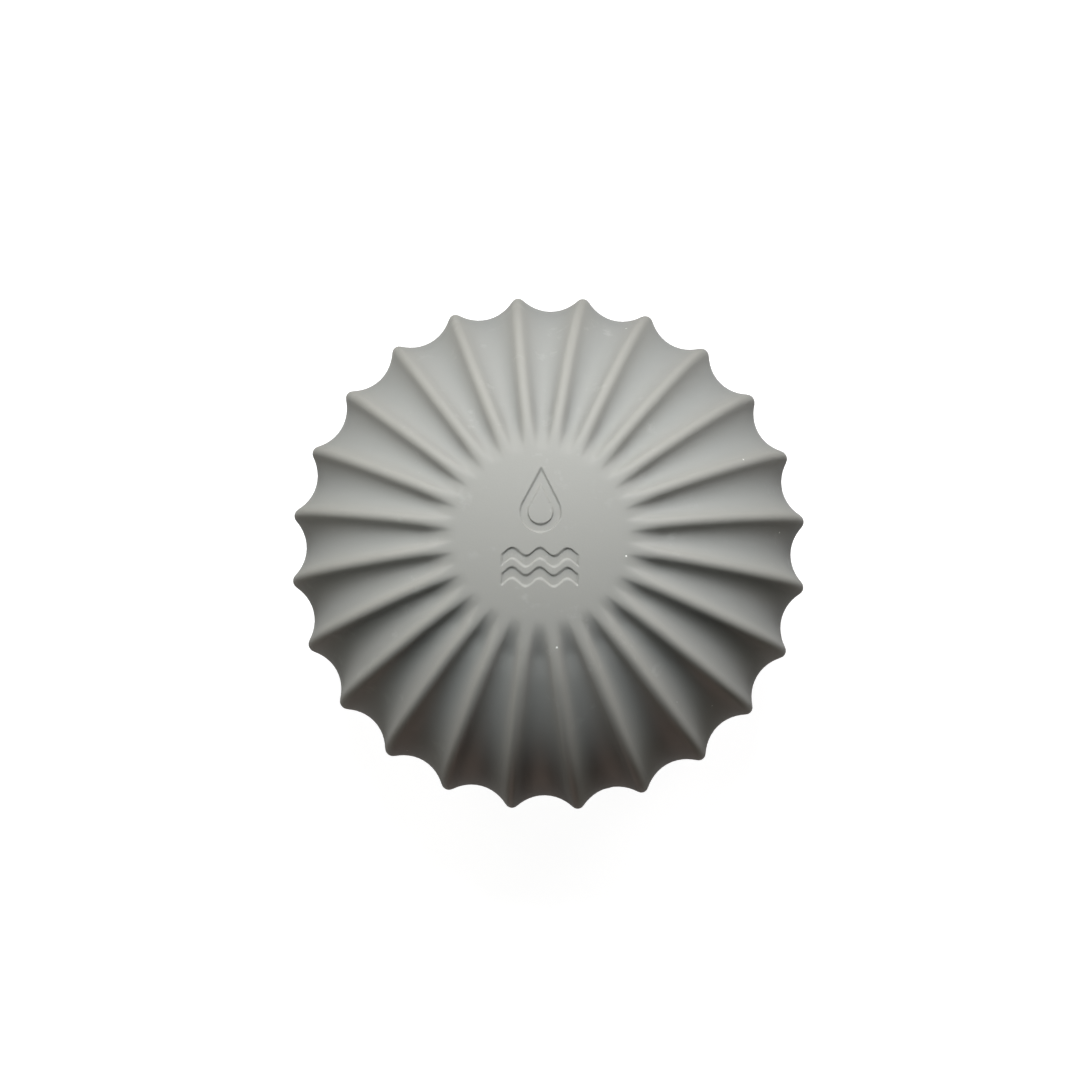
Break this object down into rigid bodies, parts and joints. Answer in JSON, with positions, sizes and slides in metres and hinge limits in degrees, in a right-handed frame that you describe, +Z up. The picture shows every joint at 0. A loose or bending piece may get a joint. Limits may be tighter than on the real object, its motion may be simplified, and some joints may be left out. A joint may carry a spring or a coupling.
{
  "type": "portable mini washer",
  "caption": "Ball-shaped cordless basin washer: a fluted soft agitator turns on a matching base with suction cups, a power button and a plugged charging port.",
  "frame": {"origin": "centre of the plane of the suction-cup rims", "axes": "+Z up through the pole of the agitator, -Y towards the controls, +Y towards the charging port, +X to the right"},
  "size_m": [0.119, 0.119, 0.0952],
  "materials": {
    "skin_silicone": "matte soft silicone",
    "boot_silicone": "matte soft silicone",
    "cup_silicone": "satin translucent silicone",
    "button_silicone": "matte soft silicone",
    "base_plastic": "fine moulded texture",
    "tower_plastic": "fine moulded texture",
    "core_plastic": "natural nylon",
    "gear_plastic": "natural acetal",
    "lens_plastic": "frosted light pipe",
    "switch_plastic": "moulded black",
    "seal_rubber": "oiled nitrile",
    "board_laminate": "solder mask",
    "cell_sleeve": "shrink sleeve",
    "screw_steel": "stainless",
    "shaft_steel": "ground",
    "plate_steel": "zinc plated",
    "magnet_ferrite": "sintered ferrite",
    "winding_copper": "enamelled copper",
    "sun_brass": "machined"
  },
  "bodies": {
    "base": {"base_boot": "boot_silicone", "suction_cup_1": "cup_silicone", "suction_cup_2": "cup_silicone", "suction_cup_3": "cup_silicone", "suction_cup_4": "cup_silicone", "base_plate": "base_plastic", "base_shell": "base_plastic", "control_bezel": "base_plastic", "battery_cradle": "base_plastic", "tower_cap": "tower_plastic", "motor_end_cap": "tower_plastic", "ring_gear": "gear_plastic", "status_lights": "lens_plastic", "button_switch": "switch_plastic", "board_chips": "switch_plastic", "base_o_ring": "seal_rubber", "tower_o_ring": "seal_rubber", "shaft_seal": "seal_rubber", "main_board": "board_laminate", "control_board": "board_laminate", "charge_board": "board_laminate", "battery_cell_1": "cell_sleeve", "battery_cell_2": "cell_sleeve", "base_screws": "screw_steel", "tower_screws": "screw_steel", "motor_screws": "screw_steel", "plate_screws": "screw_steel", "lower_bearing": "shaft_steel", "upper_bearing": "shaft_steel", "motor_can": "plate_steel", "motor_plate": "plate_steel", "charge_socket": "plate_steel", "battery_tabs": "plate_steel", "motor_magnets": "magnet_ferrite"},
    "agitator": {"agitator_skin": "skin_silicone", "agitator_core": "core_plastic", "hub_washer": "screw_steel", "hub_screw": "screw_steel", "output_shaft": "shaft_steel", "planet_carrier": "plate_steel", "planet_pins": "shaft_steel"},
    "motor_rotor": {"motor_shaft": "shaft_steel", "motor_armature": "winding_copper", "sun_gear": "sun_brass"},
    "planet_1": {"planet_gear_1": "gear_plastic"},
    "planet_2": {"planet_gear_2": "gear_plastic"},
    "planet_3": {"planet_gear_3": "gear_plastic"},
    "button": {"power_button": "button_silicone"},
    "plug": {"port_plug": "boot_silicone"}
  },
  "joints": [
    {"name": "agitator_spin", "type": "hinge", "parent": "base", "child": "agitator", "pos_m": [0, 0, 0.046], "axis": [0, 0, 1], "continuous": true},
    {"name": "motor_spin", "type": "hinge", "parent": "base", "child": "motor_rotor", "pos_m": [0, 0, 0.036], "axis": [0, 0, 1], "continuous": true},
    {"name": "planet_1_spin", "type": "hinge", "parent": "agitator", "child": "planet_1", "pos_m": [0.0168, 0, 0.058], "axis": [0, 0, 1], "continuous": true},
    {"name": "planet_2_spin", "type": "hinge", "parent": "agitator", "child": "planet_2", "pos_m": [-0.0084, 0.01455, 0.058], "axis": [0, 0, 1], "continuous": true},
    {"name": "planet_3_spin", "type": "hinge", "parent": "agitator", "child": "planet_3", "pos_m": [-0.0084, -0.01455, 0.058], "axis": [0, 0, 1], "continuous": true},
    {"name": "button_press", "type": "slide", "parent": "base", "child": "button", "axis": [0, 1, 0], "range_m": [0, 0.0012], "stiffness_N_per_m": 1200, "springref_m": -0.0004},
    {"name": "plug_pull", "type": "slide", "parent": "base", "child": "plug", "axis": [0, 1, 0], "range_m": [0, 0.01]}
  ],
  "couplings": [
    {"joint": "motor_spin", "follows": "agitator_spin", "ratio": 7},
    {"joint": "planet_1_spin", "follows": "agitator_spin", "ratio": -2.4},
    {"joint": "planet_2_spin", "follows": "agitator_spin", "ratio": -2.4},
    {"joint": "planet_3_spin", "follows": "agitator_spin", "ratio": -2.4}
  ]
}
